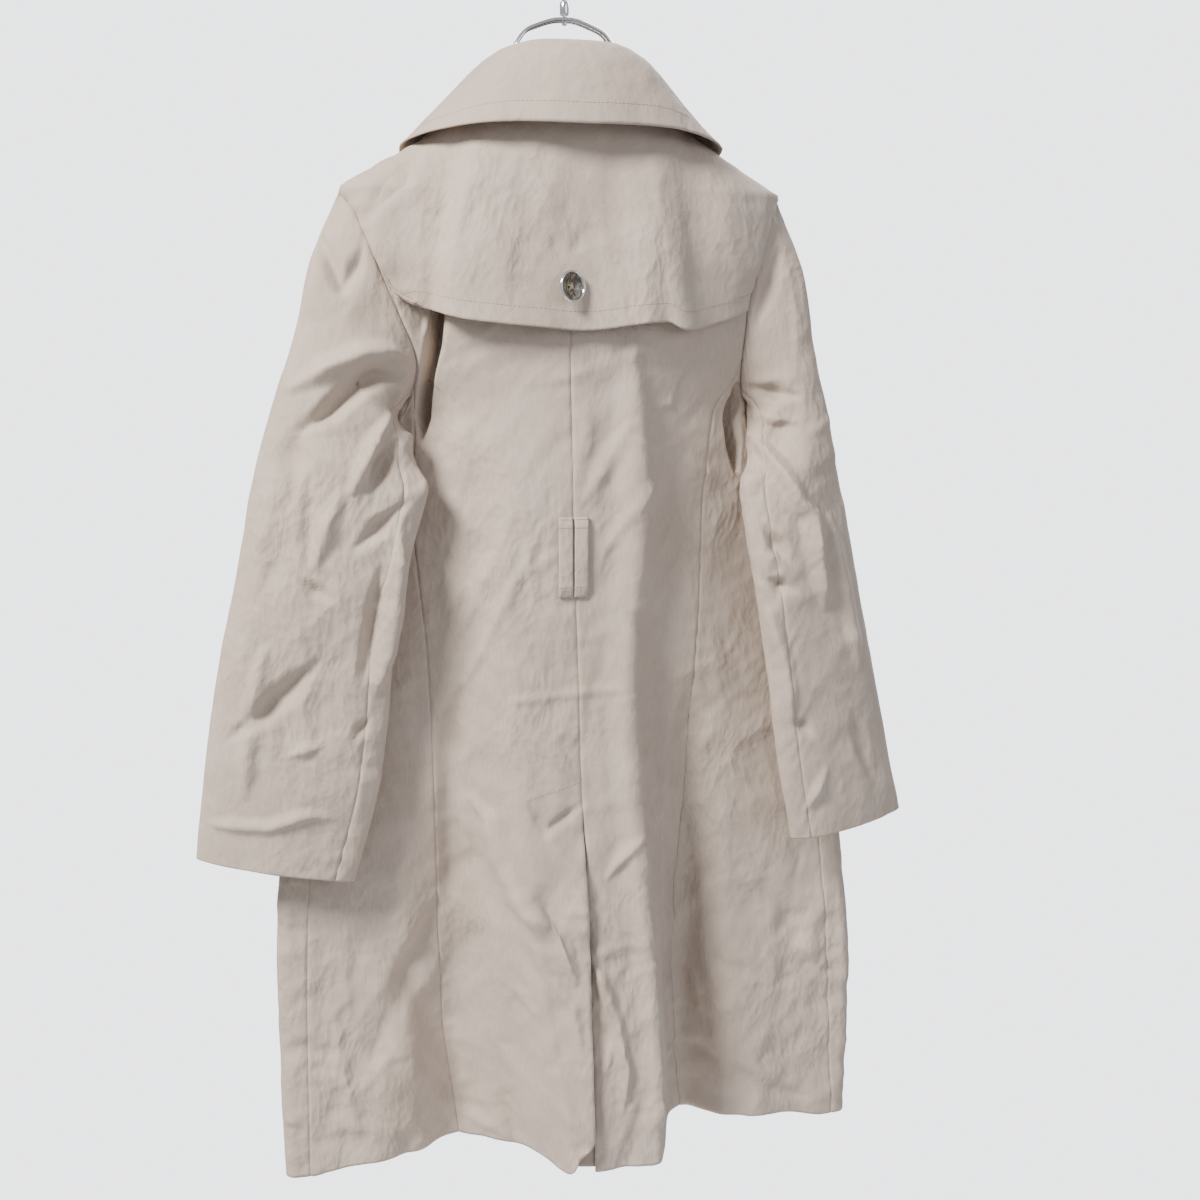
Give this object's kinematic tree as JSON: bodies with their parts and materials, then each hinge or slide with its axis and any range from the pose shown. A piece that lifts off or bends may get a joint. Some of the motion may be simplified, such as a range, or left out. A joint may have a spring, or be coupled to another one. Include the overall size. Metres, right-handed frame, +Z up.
{
  "type": "trench coat on wire hanger",
  "caption": "Single-breasted cotton trench coat with storm flap, large collar and back vent, hanging open and hollow on a double wire hanger.",
  "frame": {"origin": "underside of the hanger hook's crown, where it hangs on a rail or wall hook", "axes": "+Z up, +X towards the coat's right-hand side, +Y towards its front, so its back faces -Y"},
  "size_m": [0.616, 0.1557, 1.0338],
  "materials": {
    "cotton": "matt crumpled cotton gabardine, light stone",
    "chrome": "polished",
    "horn": "mottled dark horn"
  },
  "bodies": {
    "root": {"back_left": "cotton", "back_right": "cotton", "side_back_left": "cotton", "side_back_right": "cotton", "front_left": "cotton", "front_right": "cotton", "lapel_left": "cotton", "lapel_right": "cotton", "upper_sleeve_left": "cotton", "under_sleeve_left": "cotton", "upper_sleeve_right": "cotton", "under_sleeve_right": "cotton", "vent_underlap": "cotton", "storm_flap": "cotton", "collar_stand": "cotton", "collar_fall": "cotton", "belt_loop_left": "cotton", "belt_loop_right": "cotton", "flap_button_rim": "chrome", "flap_button_horn": "horn", "front_button_1_rim": "chrome", "front_button_1_horn": "horn", "front_button_2_rim": "chrome", "front_button_2_horn": "horn", "front_button_3_rim": "chrome", "front_button_3_horn": "horn", "front_button_4_rim": "chrome", "front_button_4_horn": "horn", "hanger_hook": "chrome", "hanger_ferrule": "chrome", "hanger_wire_near": "chrome", "hanger_wire_far": "chrome"}
  },
  "joints": []
}
